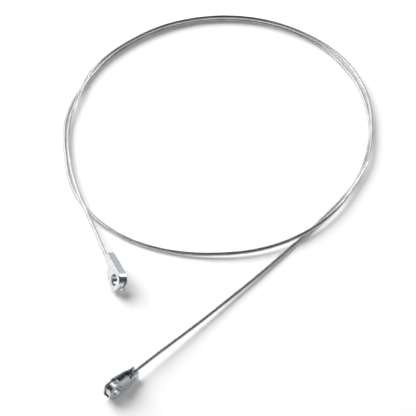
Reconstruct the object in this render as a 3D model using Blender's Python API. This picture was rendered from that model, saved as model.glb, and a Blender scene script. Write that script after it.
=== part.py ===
"""Hood retainer cable: a steel wire rope that lies in a loose loop of nearly two turns.
Each end holds a fork folded from zinc-plated sheet, a spacer bush between the fork's
two ears and a ferrule swaged on the end of the rope. Metres, +Z up, lying on z = 0."""

import math

import bmesh
import bpy
from mathutils import Matrix, Vector

MM = 0.001
CLEARANCE = 0.3 * MM
WELD_DISTANCE = 0.001 * MM

# The wire rope. Its strands are laid in the finished model: here it is one round bar.
ROPE_DIAMETER = 2.5 * MM
ROPE_STATIONS = 80

# The ferrule swaged on the rope's end.
FERRULE_DIAMETER = 3.8 * MM
FERRULE_LENGTH = 6.0 * MM
FERRULE_ROUND = 0.25 * MM
SWAGE_GAP = 0.2 * MM
ROPE_SHORT_OF_TIP = 0.6 * MM

# The fork. Its own frame has X from the rope to the tip, Y along the eye, Z out of its open side.
SHEET = 0.9 * MM
HEAD_RADIUS = 7.2 * MM
EYE_RADIUS = 4.0 * MM
SHANK_LENGTH = 20.0 * MM
WEB_DEPTH = 5.6 * MM
WEB_END_ANGLE = math.radians(-27)
LOW_LIP = 0.6 * MM
HIGH_LIP = 2.6 * MM
SHOULDER_START = 11.6 * MM
SHOULDER_END = 9.4 * MM
PINCH_LENGTH = 2.5 * MM
FOLD_RADIUS = 0.6 * MM
ROPE_RISE = 0.4 * MM
BUSH_EDGE = 0.3 * MM

# How the two forks lie: the place of the eye, where its tip points, and its turn about the shank.
EYE_A_X, EYE_A_Y = 24.6 * MM, 29.2 * MM
EYE_B_X, EYE_B_Y = -25.5 * MM, -44.7 * MM
HEADING_A = math.radians(-102.3)
HEADING_B = math.radians(-167.7)
TURN_A = math.radians(156.5)
TURN_B = 0.0

# The rope's route between the forks, in millimetres, from the first fork to the second.
ROUTE = (
    # Down from the first fork, over the second turn.
    (40.5, 95.1, 4.7), (45.5, 114.1, 4.2),
    # The first turn, beside the second one and then on top of it.
    (55.7, 140.2, 3.3), (72.6, 168.0, 3.1), (92.2, 186.9, 3.9), (113.2, 202.0, 4.2),
    (138.8, 209.7, 4.2), (179.8, 209.8, 4.2), (217.6, 195.2, 4.2), (244.7, 171.1, 4.2),
    (261.9, 139.2, 4.2), (267.6, 110.1, 4.2), (262.1, 76.7, 4.2), (246.2, 47.7, 4.2),
    (226.6, 25.3, 4.2), (209.7, 14.3, 4.2),
    # Over the rope's other tail, and slowly down to the ground.
    (182.8, 1.2, 4.2), (152.6, -4.2, 4.3), (121.2, 0.7, 3.6), (90.0, 17.0, 2.6),
    (66.3, 38.3, 1.6), (50.5, 62.5, 1.25), (42.9, 90.7, 1.25),
    # The second turn, on the ground.
    (44.4, 117.7, 1.25), (55.3, 144.8, 1.25), (74.2, 174.6, 1.25), (96.3, 192.3, 1.25),
    (125.7, 205.9, 1.25), (159.5, 211.7, 1.25), (196.3, 206.1, 1.25), (226.8, 189.5, 1.25),
    (250.3, 163.8, 1.25), (263.7, 129.1, 1.25), (263.1, 89.0, 1.25), (247.8, 52.0, 1.25),
    (230.2, 31.5, 1.25), (211.0, 16.7, 1.25), (180.2, 4.4, 1.25),
    # Up to the second fork.
    (133.0, -9.0, 1.3), (66.0, -24.9, 3.2),
)

# Sizes that follow from the ones above.
ROPE_RADIUS = ROPE_DIAMETER / 2
FERRULE_RADIUS = FERRULE_DIAMETER / 2
HEAD_INSIDE = FERRULE_RADIUS + CLEARANCE
SHANK_INSIDE = ROPE_RADIUS + CLEARANCE
BUSH_RADIUS = HEAD_RADIUS - SHEET - CLEARANCE
BUSH_HALF = HEAD_INSIDE - CLEARANCE
FERRULE_TIP = -(BUSH_RADIUS + CLEARANCE)
FERRULE_BACK = FERRULE_TIP - FERRULE_LENGTH
ROPE_END = FERRULE_TIP - ROPE_SHORT_OF_TIP
PINCH_WIDE = FERRULE_BACK - CLEARANCE
PINCH_NARROW = PINCH_WIDE - PINCH_LENGTH
CUT_MARGIN = 2 * MM


def clear_scene():
    for obj in list(bpy.data.objects):
        bpy.data.objects.remove(obj, do_unlink=True)


def metal(name, colour, roughness):
    material = bpy.data.materials.new(name)
    material.use_nodes = True
    shader = material.node_tree.nodes["Principled BSDF"]
    shader.inputs["Base Color"].default_value = (*colour, 1)
    shader.inputs["Roughness"].default_value = roughness
    shader.inputs["Metallic"].default_value = 1.0
    return material


def add_object(name, mesh, material=None):
    obj = bpy.data.objects.new(name, mesh)
    bpy.context.scene.collection.objects.link(obj)
    if material:
        mesh.materials.append(material)
    return obj


def hide_cutter(obj):
    obj.hide_render = True
    obj.display_type = "WIRE"


def mesh_from(bm, name):
    bmesh.ops.remove_doubles(bm, verts=bm.verts[:], dist=WELD_DISTANCE)
    bmesh.ops.recalc_face_normals(bm, faces=bm.faces[:])
    if bm.calc_volume(signed=True) < 0:
        bmesh.ops.reverse_faces(bm, faces=bm.faces[:])
    mesh = bpy.data.meshes.new(name)
    bm.to_mesh(mesh)
    bm.free()
    return mesh


def prism(name, outline, start, end):
    """The flat outline, as points with one coordinate left at zero, pulled from start to end."""
    bm = bmesh.new()
    face = bm.faces.new([bm.verts.new(point + start) for point in outline])
    pulled = bmesh.ops.extrude_face_region(bm, geom=[face])["geom"]
    moved = [item for item in pulled if isinstance(item, bmesh.types.BMVert)]
    bmesh.ops.translate(bm, verts=moved, vec=end - start)
    return mesh_from(bm, name)


def side_point(x, z):
    return Vector((x, 0, z))


def on_circle(radius, angle):
    return side_point(radius * math.cos(angle), radius * math.sin(angle))


def arc(radius, start, end, step=math.radians(7.5)):
    steps = max(1, round(abs(end - start) / step))
    return [on_circle(radius, start + (end - start) * i / steps) for i in range(steps + 1)]


def touch_angle(point, radius, side):
    """Where a straight line from this point touches a circle round the eye. The side is 1 or -1."""
    return math.atan2(point.z, point.x) - side * math.acos(radius / point.length)


def cut(obj, cutter, operation="DIFFERENCE"):
    modifier = obj.modifiers.new(cutter.name, "BOOLEAN")
    modifier.operation = operation
    modifier.object = cutter


def plan_cutter(name, shank_half, head_half):
    """What the fork fills when seen from above: narrow where the sheet is pinched on the rope."""
    back, front = -SHANK_LENGTH - CUT_MARGIN, HEAD_RADIUS + CUT_MARGIN
    half = [(back, shank_half), (PINCH_NARROW, shank_half), (PINCH_WIDE, head_half), (front, head_half)]
    outline = [Vector((x, y, 0)) for x, y in half] + [Vector((x, -y, 0)) for x, y in reversed(half)]
    reach = Vector((0, 0, HEAD_RADIUS + CUT_MARGIN))
    cutter = add_object(name, prism(name, outline, -reach, reach))
    hide_cutter(cutter)
    return cutter


def folded_blank(name, outline, inward, half_width):
    """The outline pulled to the fork's width. A point with an inward vector lies on the fold, which is rounded."""
    quarter = [math.radians(angle) for angle in (0, 30, 60, 90)]
    rows = [(half_width - FOLD_RADIUS * (1 - math.sin(turn)), FOLD_RADIUS * (1 - math.cos(turn))) for turn in quarter]
    rows = [(-y, inset) for y, inset in reversed(rows)] + rows
    bm = bmesh.new()
    rings = [
        [bm.verts.new(point + pull * inset + Vector((0, y, 0))) for point, pull in zip(outline, inward)]
        for y, inset in rows
    ]
    for low, high in zip(rings, rings[1:]):
        for i in range(len(outline)):
            bm.faces.new((low[i - 1], low[i], high[i], high[i - 1]))
    bm.faces.new(rings[0])
    bm.faces.new(rings[-1])
    return mesh_from(bm, name)


def make_fork(name, placing, material):
    """Sheet folded over its web, with two round ears. The web goes round the head's lower side."""
    low_corner = side_point(-SHANK_LENGTH, -WEB_DEPTH)
    high_corner = side_point(-SHANK_LENGTH, HIGH_LIP)
    web_touch = touch_angle(low_corner, HEAD_RADIUS, -1)
    lip_touch = touch_angle(high_corner, HEAD_RADIUS, 1)
    outline = [high_corner, *arc(HEAD_RADIUS, lip_touch, web_touch), low_corner]

    web_line = on_circle(HEAD_RADIUS, web_touch) - low_corner
    web_normal = Vector((-web_line.z, 0, web_line.x)).normalized()
    inward = [
        Vector() if math.atan2(point.z, point.x) > WEB_END_ANGLE else -point.normalized() for point in outline
    ]
    inward[-1] = Vector((0, 0, 1 / web_normal.z))

    half_width = HEAD_INSIDE + SHEET
    reach = Vector((0, half_width, 0))
    fork = add_object(name, folded_blank(name, outline, inward, half_width), material)
    cut(fork, plan_cutter(name + "_plan", SHANK_INSIDE + SHEET, half_width), "INTERSECT")

    inside_start = low_corner + web_normal * SHEET - web_line.normalized() * CUT_MARGIN
    far = HEAD_RADIUS + CUT_MARGIN
    hollow = [
        inside_start,
        *arc(HEAD_RADIUS - SHEET, web_touch, WEB_END_ANGLE),
        on_circle(far, WEB_END_ANGLE),
        side_point(far, far),
        side_point(inside_start.x, far),
    ]
    channel = add_object(name + "_channel", prism(name + "_channel", hollow, -reach, reach))
    hide_cutter(channel)
    cut(channel, plan_cutter(name + "_inside", SHANK_INSIDE, HEAD_INSIDE), "INTERSECT")
    cut(fork, channel)

    above = [
        side_point(inside_start.x, LOW_LIP),
        side_point(-SHOULDER_START, LOW_LIP),
        side_point(-SHOULDER_END, far),
        side_point(inside_start.x, far),
    ]
    near_wall = Vector((0, half_width + CUT_MARGIN, 0))
    lip = add_object(name + "_lip", prism(name + "_lip", above, Vector(), near_wall))
    hide_cutter(lip)
    cut(fork, lip)

    through = reach * 2
    eye = add_object(name + "_eye", prism(name + "_eye", arc(EYE_RADIUS, 0, math.tau)[:-1], -through, through))
    hide_cutter(eye)
    cut(fork, eye)
    for obj in (fork, channel, lip, eye, *(bpy.data.objects[name + end] for end in ("_plan", "_inside"))):
        obj.matrix_world = placing
    return fork


def turned(name, profile, axis_turn, placing, material, steps=32):
    """A closed profile of (radius, height) points, turned round the local Z axis."""
    bm = bmesh.new()
    points = [bm.verts.new((radius, 0, height)) for radius, height in profile]
    edges = [bm.edges.new((points[i - 1], points[i])) for i in range(len(points))]
    bmesh.ops.spin(
        bm, geom=points + edges, cent=(0, 0, 0), axis=(0, 0, 1), angle=math.tau, steps=steps, use_merge=True
    )
    bmesh.ops.transform(bm, matrix=axis_turn, verts=bm.verts[:])
    mesh = mesh_from(bm, name)
    mesh.shade_smooth()
    mesh.set_sharp_from_angle(angle=math.radians(40))
    obj = add_object(name, mesh, material)
    obj.matrix_world = placing
    return obj


def ring_profile(inner, outer, half, edge):
    return [
        (inner, -half), (outer - edge, -half), (outer, edge - half),
        (outer, half - edge), (outer - edge, half), (inner, half),
    ]


def fork_placing(eye_x, eye_y, heading, turn):
    """The fork's frame, with the head standing on the ground however the fork is turned."""
    half_width = HEAD_INSIDE + SHEET
    height = HEAD_RADIUS * abs(math.cos(turn)) + half_width * abs(math.sin(turn))
    pose = Matrix.Rotation(heading, 4, "Z") @ Matrix.Rotation(turn, 4, "X")
    return Matrix.Translation((eye_x, eye_y, height)) @ pose


def smooth_through(points, stations):
    """A curve through the points, read at equal steps along its length."""
    ends = [points[0] * 2 - points[1], *points, points[-1] * 2 - points[-2]]
    fine = []
    parts = 24
    for before, start, end, after in zip(ends, ends[1:], ends[2:], ends[3:]):
        span = (end - start).length
        leave = ((start - before) / (start - before).length + (end - start) / span) / 2 * span
        arrive = ((end - start) / span + (after - end) / (after - end).length) / 2 * span
        for i in range(parts):
            t = i / parts
            fine.append(
                start * (2 * t**3 - 3 * t**2 + 1) + leave * (t**3 - 2 * t**2 + t)
                + end * (3 * t**2 - 2 * t**3) + arrive * (t**3 - t**2)
            )
    fine.append(points[-1])
    run = [0.0]
    for start, end in zip(fine, fine[1:]):
        run.append(run[-1] + (end - start).length)
    picked, at = [], 0
    for i in range(stations):
        wanted = run[-1] * i / (stations - 1)
        while at < len(fine) - 2 and run[at + 1] < wanted:
            at += 1
        share = (wanted - run[at]) / (run[at + 1] - run[at])
        picked.append(fine[at].lerp(fine[at + 1], min(share, 1)))
    return picked


def rope_route(placing_a, placing_b):
    """Straight out of each ferrule and shank, and along the hand-laid route between them."""
    inside = side_point(ROPE_END, ROPE_RISE)
    mouth = side_point(-SHANK_LENGTH, ROPE_RISE)
    laid = [Vector(point) * MM for point in ROUTE]
    points = [placing_a @ inside, placing_a @ mouth, *laid, placing_b @ mouth, placing_b @ inside]
    route = smooth_through(points, ROPE_STATIONS)
    for point in route:
        point.z = max(point.z, ROPE_RADIUS)
    return route


def make_rope(name, route, material):
    curve = bpy.data.curves.new(name, "CURVE")
    curve.dimensions = "3D"
    curve.bevel_depth = ROPE_RADIUS
    curve.bevel_resolution = 2
    curve.use_fill_caps = True
    spline = curve.splines.new("POLY")
    spline.points.add(len(route) - 1)
    for point, place in zip(spline.points, route):
        point.co = (*place, 1)
    return add_object(name, curve, material)


def make_end(letter, placing, zinc, steel, dull):
    make_fork("fork_" + letter, placing, zinc)
    along_eye = Matrix.Rotation(math.radians(90), 4, "X")
    bush = ring_profile(EYE_RADIUS, BUSH_RADIUS, BUSH_HALF, BUSH_EDGE)
    turned("spacer_bush_" + letter, bush, along_eye, placing, steel, steps=48)
    middle = (FERRULE_TIP + FERRULE_BACK) / 2
    along_rope = Matrix.Translation((middle, 0, ROPE_RISE)) @ Matrix.Rotation(math.radians(90), 4, "Y")
    sleeve = ring_profile(ROPE_RADIUS + SWAGE_GAP, FERRULE_RADIUS, FERRULE_LENGTH / 2, FERRULE_ROUND)
    turned("ferrule_" + letter, sleeve, along_rope, placing, dull, steps=24)


def main():
    clear_scene()
    zinc = metal("zinc plated sheet", (0.62, 0.66, 0.68), 0.25)
    steel = metal("turned steel", (0.55, 0.58, 0.60), 0.3)
    dull = metal("swaged sleeve", (0.70, 0.72, 0.73), 0.35)
    wire = metal("drawn wire", (0.66, 0.68, 0.69), 0.28)
    placing_a = fork_placing(EYE_A_X, EYE_A_Y, HEADING_A, TURN_A)
    placing_b = fork_placing(EYE_B_X, EYE_B_Y, HEADING_B, TURN_B)
    make_end("a", placing_a, zinc, steel, dull)
    make_end("b", placing_b, zinc, steel, dull)
    make_rope("wire_rope", rope_route(placing_a, placing_b), wire)


main()
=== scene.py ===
"""A hood retainer cable: a stiff steel strand in a loose double loop, with a fork folded
from zinc-plated sheet pressed on each end. It lies on a pale studio floor."""

import math

import bmesh
import bpy
from mathutils import Matrix, Vector


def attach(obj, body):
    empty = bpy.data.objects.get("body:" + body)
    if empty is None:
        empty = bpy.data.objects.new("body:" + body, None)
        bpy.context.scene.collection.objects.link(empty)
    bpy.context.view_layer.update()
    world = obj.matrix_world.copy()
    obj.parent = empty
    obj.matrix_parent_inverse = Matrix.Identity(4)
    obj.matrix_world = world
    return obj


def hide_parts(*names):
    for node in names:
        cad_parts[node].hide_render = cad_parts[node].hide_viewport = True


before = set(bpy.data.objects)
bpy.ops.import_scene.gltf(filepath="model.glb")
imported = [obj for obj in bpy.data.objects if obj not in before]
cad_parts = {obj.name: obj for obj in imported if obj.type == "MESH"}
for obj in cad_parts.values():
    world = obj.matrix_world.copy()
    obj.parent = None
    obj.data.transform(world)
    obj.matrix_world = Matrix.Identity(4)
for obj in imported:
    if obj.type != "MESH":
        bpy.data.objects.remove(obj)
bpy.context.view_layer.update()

# Camera: a long lens two metres off, looking down at fifty degrees on the middle of the loop.
# The loop is turned against the part's own axes, so the camera looks along neither of them.
looked_at = Vector((0.1127, 0.0535, 0.0))
look_down = math.radians(50)
look_turn = math.radians(-33.7)
camera_distance = 2.0
turned_to_view = Matrix.Rotation(look_turn, 3, "Z")
into_picture = turned_to_view @ Vector((0, math.cos(look_down), -math.sin(look_down)))
camera_data = bpy.data.cameras.new("photo_camera")
camera_data.lens = 253.4
camera_data.sensor_width = 36
camera = bpy.data.objects.new("photo_camera", camera_data)
camera.location = looked_at - into_picture * camera_distance
camera.rotation_euler = (math.radians(90) - look_down, 0, look_turn)
bpy.context.scene.collection.objects.link(camera)
bpy.context.scene.camera = camera

# Wire rope: twelve galvanised outer wires laid in one long helix over a core and drawn through a
# die, which leaves shallow grooves. It lies as it sprang open: down over the second turn, once
# round, over its own tail, then round again on the floor and up into the second fork.
rope_diameter = 0.0025
outer_wires = 12
wire_lay = 0.040
groove_left = 0.4
ring_step = 0.0014
shank_length = 0.020
eye_to_rope_end = 0.0072
rope_rise = 0.0004
first_eye = (0.0246, 0.0292, 0.007839)
first_heading = math.radians(-102.3)
first_turn = math.radians(156.5)
second_eye = (-0.0255, -0.0447, 0.0072)
second_heading = math.radians(-167.7)
first_fork = Matrix.Translation(first_eye) @ (
    Matrix.Rotation(first_heading, 4, "Z") @ Matrix.Rotation(first_turn, 4, "X")
)
second_fork = Matrix.Translation(second_eye) @ Matrix.Rotation(second_heading, 4, "Z")
rope_end = Vector((-eye_to_rope_end, 0, rope_rise))
fork_mouth = Vector((-shank_length, 0, rope_rise))
laid = (
    (0.0405, 0.0951, 0.0047), (0.0455, 0.1141, 0.0042), (0.0557, 0.1402, 0.0033),
    (0.0726, 0.1680, 0.0031), (0.0922, 0.1869, 0.0039), (0.1132, 0.2020, 0.0042),
    (0.1388, 0.2097, 0.0042), (0.1798, 0.2098, 0.0042), (0.2176, 0.1952, 0.0042),
    (0.2447, 0.1711, 0.0042), (0.2619, 0.1392, 0.0042), (0.2676, 0.1101, 0.0042),
    (0.2621, 0.0767, 0.0042), (0.2462, 0.0477, 0.0042), (0.2266, 0.0253, 0.0042),
    (0.2097, 0.0143, 0.0042), (0.1828, 0.0012, 0.0042), (0.1526, -0.0042, 0.0043),
    (0.1212, 0.0007, 0.0036), (0.0900, 0.0170, 0.0026), (0.0663, 0.0383, 0.0016),
    (0.0505, 0.0625, 0.00125), (0.0429, 0.0907, 0.00125), (0.0444, 0.1177, 0.00125),
    (0.0553, 0.1448, 0.00125), (0.0742, 0.1746, 0.00125), (0.0963, 0.1923, 0.00125),
    (0.1257, 0.2059, 0.00125), (0.1595, 0.2117, 0.00125), (0.1963, 0.2061, 0.00125),
    (0.2268, 0.1895, 0.00125), (0.2503, 0.1638, 0.00125), (0.2637, 0.1291, 0.00125),
    (0.2631, 0.0890, 0.00125), (0.2478, 0.0520, 0.00125), (0.2302, 0.0315, 0.00125),
    (0.2110, 0.0167, 0.00125), (0.1802, 0.0044, 0.00125), (0.1330, -0.0090, 0.0013),
    (0.0660, -0.0249, 0.0032),
)


def smooth_rope(points, step, cuts=24):
    """A smooth line through the points, read at even steps along its length."""
    ends = [points[0] * 2 - points[1], *points, points[-1] * 2 - points[-2]]
    fine = []
    for before, start, end, after in zip(ends, ends[1:], ends[2:], ends[3:]):
        span = (end - start).length
        leave = ((start - before) / (start - before).length + (end - start) / span) / 2 * span
        arrive = ((end - start) / span + (after - end) / (after - end).length) / 2 * span
        for i in range(cuts):
            t = i / cuts
            fine.append(
                start * (2 * t**3 - 3 * t**2 + 1) + leave * (t**3 - 2 * t**2 + t)
                + end * (3 * t**2 - 2 * t**3) + arrive * (t**3 - t**2)
            )
    fine.append(points[-1])
    run = [0.0]
    for start, end in zip(fine, fine[1:]):
        run.append(run[-1] + (end - start).length)
    count = round(run[-1] / step)
    line, at = [], 0
    for i in range(count + 1):
        wanted = run[-1] * i / count
        while at < len(fine) - 2 and run[at + 1] < wanted:
            at += 1
        share = min((wanted - run[at]) / (run[at + 1] - run[at]), 1)
        point = fine[at].lerp(fine[at + 1], share)
        point.z = max(point.z, rope_diameter / 2)
        line.append(point)
    return line, run[-1]


def wires_outline(radius, wires, left, per_wire=6):
    """The strand's outline, as (angle, radius): one low round for each outer wire. Of the depth
    that the grooves between round wires have, the share that is left stays."""
    half = math.pi / wires
    wire = radius * math.sin(half) / (1 + math.sin(half))
    outline = []
    for at in range(wires):
        for i in range(per_wire):
            turn = (2 * i / per_wire - 1) * half
            reach = (radius - wire) * math.cos(turn) + math.sqrt(
                max(wire**2 - ((radius - wire) * math.sin(turn)) ** 2, 0)
            )
            outline.append((at * 2 * half + turn, radius - (radius - reach) * left))
    return outline


def lay_wires(name, line, outline, lay):
    """The outline carried along the line and turned once for each lay."""
    bm = bmesh.new()
    along = (line[1] - line[0]).normalized()
    side = along.cross(Vector((0, 0, 1))).normalized()
    rings, gone = [], 0.0
    for i, point in enumerate(line):
        ahead = (line[min(i + 1, len(line) - 1)] - line[max(i - 1, 0)]).normalized()
        side = (side - ahead * side.dot(ahead)).normalized()
        up = side.cross(ahead)
        if i:
            gone += (point - line[i - 1]).length
        turn = gone / lay * math.tau
        ring = [
            bm.verts.new(point + (side * math.cos(angle + turn) + up * math.sin(angle + turn)) * radius)
            for angle, radius in outline
        ]
        rings.append(ring)
    for low, high in zip(rings, rings[1:]):
        for j in range(len(outline)):
            bm.faces.new((low[j - 1], low[j], high[j], high[j - 1])).smooth = True
    bm.faces.new(rings[0])
    bm.faces.new(rings[-1])
    bmesh.ops.recalc_face_normals(bm, faces=bm.faces[:])
    mesh = bpy.data.meshes.new(name)
    bm.to_mesh(mesh)
    bm.free()
    rope = bpy.data.objects.new(name, mesh)
    bpy.context.scene.collection.objects.link(rope)
    return rope


def patchy_metal(name, scale, detail, edges, dull, bright, roughness):
    """Bare metal whose tone and gloss change together from patch to patch."""
    material = bpy.data.materials.new(name)
    material.use_nodes = True
    nodes, links = material.node_tree.nodes, material.node_tree.links
    shader = nodes["Principled BSDF"]
    shader.inputs["Metallic"].default_value = 1.0
    place = nodes.new("ShaderNodeTexCoord")
    patches = nodes.new("ShaderNodeTexNoise")
    patches.inputs["Scale"].default_value = scale
    patches.inputs["Detail"].default_value = detail
    links.new(place.outputs["Object"], patches.inputs["Vector"])
    tone = nodes.new("ShaderNodeValToRGB")
    for stop, edge, colour in zip(tone.color_ramp.elements, edges, (dull, bright)):
        stop.position = edge
        stop.color = (*colour, 1)
    links.new(patches.outputs["Fac"], tone.inputs["Fac"])
    links.new(tone.outputs["Color"], shader.inputs["Base Color"])
    gloss = nodes.new("ShaderNodeMapRange")
    gloss.inputs["To Min"].default_value = roughness[0]
    gloss.inputs["To Max"].default_value = roughness[1]
    links.new(patches.outputs["Fac"], gloss.inputs["Value"])
    links.new(gloss.outputs["Result"], shader.inputs["Roughness"])
    return material


rope_line, rope_length = smooth_rope(
    [first_fork @ rope_end, first_fork @ fork_mouth]
    + [Vector(point) for point in laid]
    + [second_fork @ fork_mouth, second_fork @ rope_end],
    ring_step,
)
bright_wire = patchy_metal(
    "bright drawn wire", scale=140, detail=4, edges=(0.35, 0.65),
    dull=(0.60, 0.61, 0.62), bright=(0.74, 0.75, 0.75), roughness=(0.08, 0.14),
)
strand = wires_outline(rope_diameter / 2, outer_wires, groove_left)
rope = lay_wires("wire_rope_strand", rope_line, strand, wire_lay)
rope.data.materials.append(bright_wire)
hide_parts("wire_rope")
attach(rope, "root")

# Forks: each is one strip of zinc-plated sheet, folded round the bush and pinched on the rope.
# The blanking and folding leave every edge a little rounded. The plate is bright and a little blue,
# with fine rubbing marks along the fork.
edge_rounding = 0.00022
rounding_faces = 2
flat_within = math.radians(3)
sharp_above = math.radians(35)
weld_distance = 0.000001


def zinc_plate(name, colour, roughness):
    """Bright zinc plate with fine rubbing marks and a slightly uneven tone."""
    dull = [channel * 0.86 for channel in colour]
    material = patchy_metal(
        name, scale=300, detail=5, edges=(0.3, 0.7),
        dull=dull, bright=colour, roughness=(roughness * 0.7, roughness * 1.4),
    )
    nodes, links = material.node_tree.nodes, material.node_tree.links
    place = nodes.new("ShaderNodeTexCoord")
    rubbed = nodes.new("ShaderNodeMapping")
    rubbed.inputs["Scale"].default_value = (1, 9, 9)
    links.new(place.outputs["Object"], rubbed.inputs["Vector"])
    scratches = nodes.new("ShaderNodeTexNoise")
    scratches.inputs["Scale"].default_value = 420
    scratches.inputs["Detail"].default_value = 6
    links.new(rubbed.outputs["Vector"], scratches.inputs["Vector"])
    ridges = nodes.new("ShaderNodeBump")
    ridges.inputs["Strength"].default_value = 0.25
    ridges.inputs["Distance"].default_value = 0.00004
    links.new(scratches.outputs["Fac"], ridges.inputs["Height"])
    links.new(ridges.outputs["Normal"], nodes["Principled BSDF"].inputs["Normal"])
    return material


sheet_plate = zinc_plate("zinc plated sheet", (0.80, 0.83, 0.85), 0.26)
for letter in "ab":
    bm = bmesh.new()
    bm.from_mesh(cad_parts["fork_" + letter].data)
    bmesh.ops.remove_doubles(bm, verts=bm.verts[:], dist=weld_distance)
    bmesh.ops.dissolve_limit(bm, angle_limit=flat_within, verts=bm.verts[:], edges=bm.edges[:])
    sharp = [
        edge for edge in bm.edges
        if len(edge.link_faces) == 2 and edge.calc_face_angle() > sharp_above
    ]
    bmesh.ops.bevel(
        bm, geom=sharp, offset=edge_rounding, offset_type="OFFSET", segments=rounding_faces,
        profile=0.5, affect="EDGES", clamp_overlap=True,
    )
    for face in bm.faces:
        face.smooth = True
    mesh = bpy.data.meshes.new("pressed_fork_" + letter)
    bm.to_mesh(mesh)
    bm.free()
    mesh.materials.append(sheet_plate)
    fork = bpy.data.objects.new("pressed_fork_" + letter, mesh)
    bpy.context.scene.collection.objects.link(fork)
    even = fork.modifiers.new("even shading", "WEIGHTED_NORMAL")
    even.keep_sharp = True
    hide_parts("fork_" + letter)
    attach(fork, "root")

# Bushes and ferrules: a short steel tube, turned from bar, keeps each fork's two ears apart on the
# bolt. A steel sleeve swaged on each end of the rope, inside the fork, stops it from pulling out.
# Both are zinc plated, a little greyer than the forks.
bush_plate = zinc_plate("turned bush", (0.72, 0.74, 0.75), 0.22)
ferrule_plate = zinc_plate("pressed ferrule", (0.75, 0.76, 0.76), 0.3)
for piece, finish in (("spacer_bush_", bush_plate), ("ferrule_", ferrule_plate)):
    for letter in "ab":
        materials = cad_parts[piece + letter].data.materials
        materials.clear()
        materials.append(finish)

# Floor: a matt pale sheet that runs past the picture on every side and keeps the shadows. What the
# camera and the metal see of it is lifted a little, so that it reaches the photograph's white.
floor_half = 3.0
floor_lift = 0.15
floor_mesh = bpy.data.meshes.new("studio_floor")
bm = bmesh.new()
bmesh.ops.create_grid(bm, x_segments=1, y_segments=1, size=floor_half)
bm.to_mesh(floor_mesh)
bm.free()
floor = bpy.data.objects.new("studio_floor", floor_mesh)
floor.location = (looked_at.x, looked_at.y, 0)
bpy.context.scene.collection.objects.link(floor)
paper = bpy.data.materials.new("pale floor")
paper.use_nodes = True
nodes, links = paper.node_tree.nodes, paper.node_tree.links
matt = nodes["Principled BSDF"]
matt.inputs["Base Color"].default_value = (0.82, 0.82, 0.82, 1)
matt.inputs["Roughness"].default_value = 0.9
matt.inputs["Specular IOR Level"].default_value = 0.1
ray = nodes.new("ShaderNodeLightPath")
seen = nodes.new("ShaderNodeMath")
seen.operation = "MAXIMUM"
links.new(ray.outputs["Is Camera Ray"], seen.inputs[0])
links.new(ray.outputs["Is Glossy Ray"], seen.inputs[1])
seen_through = nodes.new("ShaderNodeMath")
seen_through.operation = "MAXIMUM"
links.new(seen.outputs[0], seen_through.inputs[0])
links.new(ray.outputs["Is Transmission Ray"], seen_through.inputs[1])
lift = nodes.new("ShaderNodeMath")
lift.operation = "MULTIPLY"
lift.inputs[1].default_value = floor_lift
links.new(seen_through.outputs[0], lift.inputs[0])
matt.inputs["Emission Color"].default_value = (1, 1, 1, 1)
links.new(lift.outputs[0], matt.inputs["Emission Strength"])
floor.data.materials.append(paper)

# Light: one large soft lamp high on the left, a little behind the loop, in a dim room. The metal
# reflects its cloth and a narrow strip behind, not the lamp itself, which would be too bright. On
# the right a small lamp and a wide weak one, like a pale card, lift the shaded sides.
key_side = (-0.57, 0.5, 0.67)
key_distance = 2.6
key_size = 2.7
panel_corners = 48


def set_up(thing, towards, distance):
    """Stands a lamp or panel that way from the loop, as the camera sees it, facing the loop."""
    away = (turned_to_view @ Vector(towards)).normalized()
    thing.location = looked_at + away * distance
    thing.rotation_euler = away.to_track_quat("Z", "Y").to_euler()
    bpy.context.scene.collection.objects.link(thing)


def soft_lamp(name, towards, distance, size, power):
    """A round lamp of that width."""
    lamp = bpy.data.lights.new(name, "AREA")
    lamp.shape = "DISK"
    lamp.size = size
    lamp.energy = power
    holder = bpy.data.objects.new(name, lamp)
    set_up(holder, towards, distance)
    return holder


key_lamp = soft_lamp("key_lamp", key_side, key_distance, key_size, power=124)
key_lamp.visible_glossy = False
softbox = bpy.data.materials.new("softbox cloth")
softbox.use_nodes = True
glow = softbox.node_tree.nodes["Principled BSDF"]
glow.inputs["Base Color"].default_value = (0, 0, 0, 1)
glow.inputs["Emission Color"].default_value = (1, 1, 1, 1)
glow.inputs["Emission Strength"].default_value = 1.9
for name, towards, distance, (wide, high) in (
    ("softbox_cloth", key_side, key_distance, (key_size, key_size)),
    ("back_strip", (-0.27, 0.9, 0.4), 2.4, (0.72, 1.5)),
):
    panel_mesh = bpy.data.meshes.new(name)
    bm = bmesh.new()
    bmesh.ops.create_circle(bm, cap_ends=True, segments=panel_corners, radius=1)
    bmesh.ops.scale(bm, vec=(wide / 2, high / 2, 1), verts=bm.verts[:])
    bm.to_mesh(panel_mesh)
    bm.free()
    panel_mesh.materials.append(softbox)
    panel = bpy.data.objects.new(name, panel_mesh)
    set_up(panel, towards, distance)
    panel.visible_camera = False
    panel.visible_diffuse = False
    panel.visible_shadow = False
soft_lamp("right_lamp", (0.8, 0.46, 0.77), 1.6, size=0.5, power=4)
soft_lamp("right_card", (0.45, 0.82, 0.4), 1.8, size=1.5, power=3.2)
world = bpy.data.worlds.new("studio")
bpy.context.scene.world = world
world.use_nodes = True
world.node_tree.nodes["Background"].inputs["Color"].default_value = (0.9, 0.95, 1.0, 1)
world.node_tree.nodes["Background"].inputs["Strength"].default_value = 0.06
bpy.context.scene.view_settings.view_transform = "Standard"
